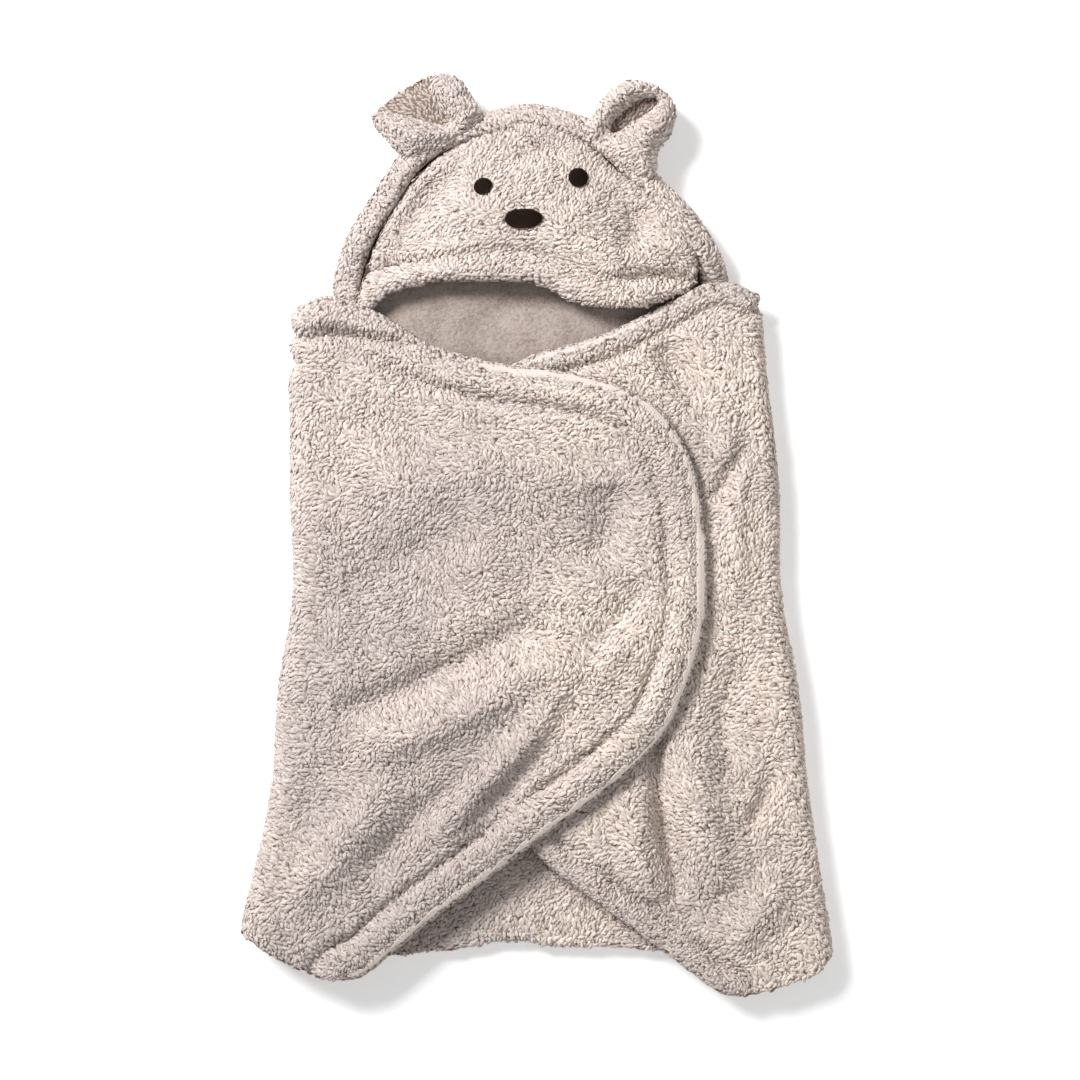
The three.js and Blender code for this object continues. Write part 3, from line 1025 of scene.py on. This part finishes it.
def make_hood_face():
    """The crowned face panel, its hem, its smooth lip and its lining."""
    seam = hood_line(FACE_SEAM)
    lip = hood_line(LIP)
    crease = hood_line(HEM_CREASE)
    outline = np.vstack([seam, lip[::-1]])
    low = FACE_BASE + sizes().lining
    face = slab("hood_face_cloth", outline, low, low + sizes().cloth)
    points = get_points(face.data)
    flat = points[:, :2]
    outer = np.clip((points[:, 2] - low) / sizes().cloth, 0, 1)
    from_seam, _ = line_distance(flat, seam)
    from_lip, _ = line_distance(flat, lip)
    from_crease, _ = line_distance(flat, crease)
    crown = 12 * MM * ease(from_seam / (75 * MM)) * ease((from_lip + 30 * MM) / (80 * MM))
    edge_dip = 4.6 * MM * (1 - ease(from_seam / (9 * MM)))
    folds = folds_height(points, [
        (-7, 12, (-112, 50), (-90, 82), (-60, 110)),
        (-3.5, 9, (-125, 38), (-80, 52), (-30, 58)),
        (-5, 10, (-30, 112), (5, 126), (38, 122)),
        (2, 14, (-60, 90), (-30, 80), (-20, 60)),
        (-7, 12, (74, 40), (88, 58), (92, 82)),
        (3.5, 10, (105, 40), (125, 45), (138, 35)),
        (4, 14, (20, 55), (48, 78), (66, 96)),
        (-5, 6, (70, 18), (105, 22), (140, 21)),
    ], on_hood)
    groove = 4 * MM * bell(from_crease, 4.5 * MM)
    in_hem = flat[:, 1] < np.interp(flat[:, 0], crease[:, 0], crease[:, 1])
    roll = np.where(in_hem, 3.5 * MM * (1 - bell(from_crease, 9 * MM)), 0)
    across = flat[:, 0] - HOOD_X
    sag = 7 * MM * (1 - ease(np.abs(across - 150 * MM) / (60 * MM))) * in_hem
    sag += 5 * MM * (1 - ease(np.abs(across + 150 * MM) / (50 * MM))) * in_hem
    points[:, 2] += crown - edge_dip * outer + folds - groove * outer + roll * outer - sag
    points[:, 2] += 0.8 * MM * soft_noise(points, 0.07, 31)
    set_points(face.data, points)
    store(face, "inner", (outer < 0.5) & (from_seam > 5 * MM) & (from_lip > 5 * MM))
    sewn = np.zeros(len(points), dtype=bool)
    for node, (half_width, half_height, tilt, _) in STITCHING.items():
        middle = np.mean(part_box(node), axis=0)[:2]
        turn = np.array([[math.cos(tilt), -math.sin(tilt)], [math.sin(tilt), math.cos(tilt)]])
        half = np.array([half_width, half_height]) - 0.5 * MM
        sewn |= np.linalg.norm((flat - middle) @ turn / half, axis=1) < 1
    smooth_part = flat[:, 0] < HOOD_X + 25 * MM
    bare = (from_lip < 9 * MM) & smooth_part
    near_lip = 0.48 + 0.4 * ease((from_lip - 3 * MM) / (9 * MM))
    store(face, "pile", (outer > 0.25) & ~sewn & ~bare)
    store(face, "pile_size", np.where(smooth_part, near_lip, 0.88))
    dress(face, cloth_finish())
    piles = grow_pile(face, spacing=sizes().curl_spacing * 0.93, seed=15, lie=0.3)
    lining = lining_of(face, "hood_face_lining_cloth", 0.3 * MM)
    strip = smooth_strip("hood_lip_strip", face, lip, 13 * MM,
                         lambda points, _: points[:, 0] < HOOD_X + 30 * MM)
    settle([face, *piles], rider("hood"), ["hood_face_panel"])
    settle([lining], rider("hood"), ["hood_face_lining"])
    settle([strip], rider("hood"), ["hood_hem"])


def surface_height(piece, x, y):
    """The height of a piece's upper surface at a place."""
    hit, where, _, _ = piece.ray_cast(Vector((x, y, 1.0)), Vector((0, 0, -1)))
    if not hit:
        raise RuntimeError(f"{piece.name} isn't under {x:.3f}, {y:.3f}")
    return where.z


def satin_patch(name, face, centre, half_width, half_height, tilt, squareness):
    """Embroidery: rows of padded threads, side by side across a rounded patch."""
    thread = 0.55 * MM
    bm = bmesh.new()
    rows = int(half_height / thread)
    for row in range(-rows + 1, rows):
        v = row * thread
        chord = half_width * (1 - abs(v / half_height) ** squareness) ** (1 / squareness)
        made = bmesh.ops.create_uvsphere(bm, u_segments=8, v_segments=8, radius=1)["verts"]
        turn_about(bm, made, math.pi / 2, "Y")
        bulge = 1.6 * MM * math.sqrt(max(0.0, 1 - (v / half_height) ** 2)) + 0.5 * MM
        bmesh.ops.scale(bm, verts=made, vec=(chord, thread * 0.8, bulge))
        bmesh.ops.translate(bm, verts=made, vec=(0, v, 0))
    backing = bmesh.ops.create_uvsphere(bm, u_segments=24, v_segments=10, radius=1)["verts"]
    bmesh.ops.scale(bm, verts=backing, vec=(half_width * 0.95, half_height * 0.95, 1.3 * MM))
    turn_about(bm, bm.verts, tilt, "Z")
    for v in bm.verts:
        x, y = centre[0] + v.co.x, centre[1] + v.co.y
        v.co = Vector((x, y, surface_height(face, x, y) + 1.7 * MM + v.co.z))
    soften(bm)
    piece = new_piece(name, bm)
    dress(piece, stitching_finish())
    settle([piece], rider("hood"), [name.replace("_stitching", "")])


def make_face_stitching():
    """Two eyes and a nose."""
    face = bpy.data.objects["hood_face_cloth"]
    for node, (half_width, half_height, tilt, squareness) in STITCHING.items():
        low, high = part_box(node)
        centre = (Vector(low) + Vector(high)) / 2
        satin_patch(f"{node}_stitching", face, centre, half_width, half_height, tilt, squareness)


# An ear's outline and its front's outline, in millimetres on the hood
EARS = {
    "left": {
        "back": [(-101, 120), (-112, 127), (-126, 142), (-135, 153), (-131, 163), (-112, 179),
                 (-93, 190), (-76, 194), (-60, 186), (-50, 172), (-41, 156), (-52, 144), (-78, 128)],
        "front": [(-101, 120), (-112, 127), (-126, 142), (-135, 155), (-129, 161), (-100, 155),
                  (-66, 147), (-77, 164), (-85, 179), (-80, 193), (-66, 191), (-57, 185),
                  (-49, 172), (-41, 156), (-52, 144), (-78, 128)],
    },
    "right": {
        "back": [(42, 146), (52, 156), (57, 166), (67, 179), (86, 188), (107, 182), (122, 167),
                 (120, 145), (108, 128), (106, 108), (96, 104), (78, 114), (60, 130)],
        "front": [(42, 146), (52, 156), (57, 166), (67, 179), (86, 188), (107, 182), (122, 167),
                  (120, 145), (108, 128), (106, 108), (96, 104), (78, 114), (62, 128), (66, 140),
                  (74, 142), (86, 150), (99, 159), (110, 169), (106, 174), (89, 170), (73, 157),
                  (65, 145), (57, 134)],
    },
}


def make_ears():
    """Each ear is a fleece back and a folded front whose hollow shows the short nap inside."""
    for side, shapes in EARS.items():
        body = f"ear_{side}"
        back_line = closed_line(shapes["back"])
        back_low = 15 * MM
        back = slab(f"{body}_back_cloth", back_line, back_low, back_low + sizes().cloth,
                    voxel=FINE_VOXEL)
        crown_cloth(back, back_line, back_low + sizes().cloth / 2, 5 * MM, 18 * MM)
        hollow = normals_of(back)[:, 2] > 0.6
        store(back, "pile", ~hollow)
        store(back, "pile_size", np.where(hollow, 0.72, 0.9))
        # The back's cloth and the hollow's curls take the ear hollow's painted shade.
        dress(back, ear_inside_finish())
        back_piles = grow_pile(back, seed=17)
        store(back, "pile", hollow)
        for piece in grow_pile(back, seed=18):
            piece.name = f"{body}_hollow_pile"
            dress(piece, ear_inside_finish())
            back_piles.append(piece)

        front_line = closed_line(shapes["front"])
        front_low = back_low + sizes().cloth + 1.5 * MM
        front = slab(f"{body}_front_cloth", front_line, front_low, front_low + 12 * MM,
                     voxel=FINE_VOXEL, rounds=6)
        crown_cloth(front, front_line, front_low, 7 * MM, 14 * MM)
        normals = normals_of(front)
        store(front, "pile", normals[:, 2] > -0.3)
        store(front, "pile_size", np.full(len(normals), 0.9))
        dress(front, cloth_finish())
        front_piles = grow_pile(front, seed=19, lie=0.8)
        settle([back, *back_piles], rider(body), [f"{body}_back"])
        settle([front, *front_piles], rider(body), [f"{body}_front"])


def closed_line(points):
    """A smooth closed line on the hood."""
    return smooth_line([on_hood(*p) for p in [*points, points[0]]], steps=3)[:-1]


def crown_cloth(piece, outline, middle, height, width):
    """Raises a piece away from its outline, so that its edge rolls down."""
    points = get_points(piece.data)
    gap, _ = line_distance(points[:, :2], np.vstack([outline, outline[:1]]))
    above = np.clip((points[:, 2] - middle) / (4 * MM), -0.2, 1)
    points[:, 2] += height * ease(gap / width) * above
    set_points(piece.data, points)


def make_stage():
    """Pale floor, soft light from above and the camera over the middle of the wrap."""
    bm = bmesh.new()
    bmesh.ops.create_grid(bm, x_segments=1, y_segments=1, size=sizes().floor / 2)
    bmesh.ops.translate(bm, verts=bm.verts, vec=(0, 0, -1 * MM))
    floor = new_piece("floor", bm)
    dress(floor, floor_finish())

    world = bpy.data.worlds.new("studio")
    world.use_nodes = True
    sky = world.node_tree.nodes["Background"]
    sky.inputs["Color"].default_value = (1, 1, 1, 1)
    sky.inputs["Strength"].default_value = 0.32
    bpy.context.scene.world = world
    bpy.context.scene.view_settings.view_transform = "Standard"

    lights = {"key": ((-1.45, 1.35, 1.75), 98, 0.9), "fill": ((1.4, -0.6, 2.2), 9, 1.8)}
    for name, (place, power, size) in lights.items():
        data = bpy.data.lights.new(name, "AREA")
        data.energy = power
        data.size = size
        light = bpy.data.objects.new(name, data)
        light.location = place
        light.rotation_euler = (-Vector(place)).to_track_quat("-Z", "Y").to_euler()
        bpy.context.scene.collection.objects.link(light)

    low, high = CAD_BOX
    lens = bpy.data.cameras.new("camera")
    lens.lens = 85
    lens.sensor_width = 36
    picture_width = (high[1] - low[1]) * 1.159     # the wrap's length with its margins
    distance = picture_width * lens.lens / lens.sensor_width
    camera = bpy.data.objects.new("camera", lens)
    camera.location = (3 * MM, -2 * MM, distance + high[2] - 12 * MM)
    bpy.context.scene.collection.objects.link(camera)
    bpy.context.scene.camera = camera


# ------------------------------------------------------------------ operators


def operator(name, label, doc, build):
    """One operator that builds a piece or a group of pieces."""
    def execute(self, context):
        build()
        return {"FINISHED"}
    members = {"__doc__": doc, "bl_idname": f"wrap.{name}", "bl_label": label,
               "bl_options": {"REGISTER", "UNDO"}, "execute": execute}
    return type(f"WRAP_OT_{name}", (bpy.types.Operator,), members)


OPERATORS = [
    operator("stage", "Stage", "Floor, lights and camera", make_stage),
    operator("back", "Back", "Back of the body and its lining", make_back),
    operator("right_flap", "Right flap", "The under flap", make_right_flap),
    operator("left_flap", "Left flap", "The upper flap", make_left_flap),
    operator("hood_back", "Hood back", "Back of the hood and its lining", make_hood_back),
    operator("hood_rim", "Hood rim", "Rim strip round the hood", make_hood_rim),
    operator("hood_face", "Hood face", "Face panel, hem, lip and lining", make_hood_face),
    operator("stitching", "Face stitching", "Eyes and nose", make_face_stitching),
    operator("ears", "Ears", "Both ears", make_ears),
]


class WRAP_PT_panel(bpy.types.Panel):
    """Lists the wrap's pieces."""

    bl_idname = "WRAP_PT_panel"
    bl_label = "Hooded wrap"
    bl_space_type = "VIEW_3D"
    bl_region_type = "UI"
    bl_category = "Wrap"

    def draw(self, context):
        for piece in OPERATORS:
            self.layout.operator(piece.bl_idname)
        for group in (context.scene.wrap_sizes, context.scene.wrap_colours):
            box = self.layout.box()
            for name in group.__annotations__:
                box.prop(group, name)


CLASSES = [WrapSizes, WrapColours, *OPERATORS, WRAP_PT_panel]


def register():
    for item in CLASSES:
        bpy.utils.register_class(item)
    bpy.types.Scene.wrap_sizes = bpy.props.PointerProperty(type=WrapSizes)
    bpy.types.Scene.wrap_colours = bpy.props.PointerProperty(type=WrapColours)


def unregister():
    del bpy.types.Scene.wrap_colours
    del bpy.types.Scene.wrap_sizes
    for item in reversed(CLASSES):
        bpy.utils.unregister_class(item)


def main():
    register()
    for piece in OPERATORS:
        group, name = piece.bl_idname.split(".")
        getattr(getattr(bpy.ops, group), name)()
    kinds = curl_kinds()
    for item in list(kinds.objects):
        bpy.data.objects.remove(item)
    bpy.data.collections.remove(kinds)


if __name__ == "__main__":
    main()
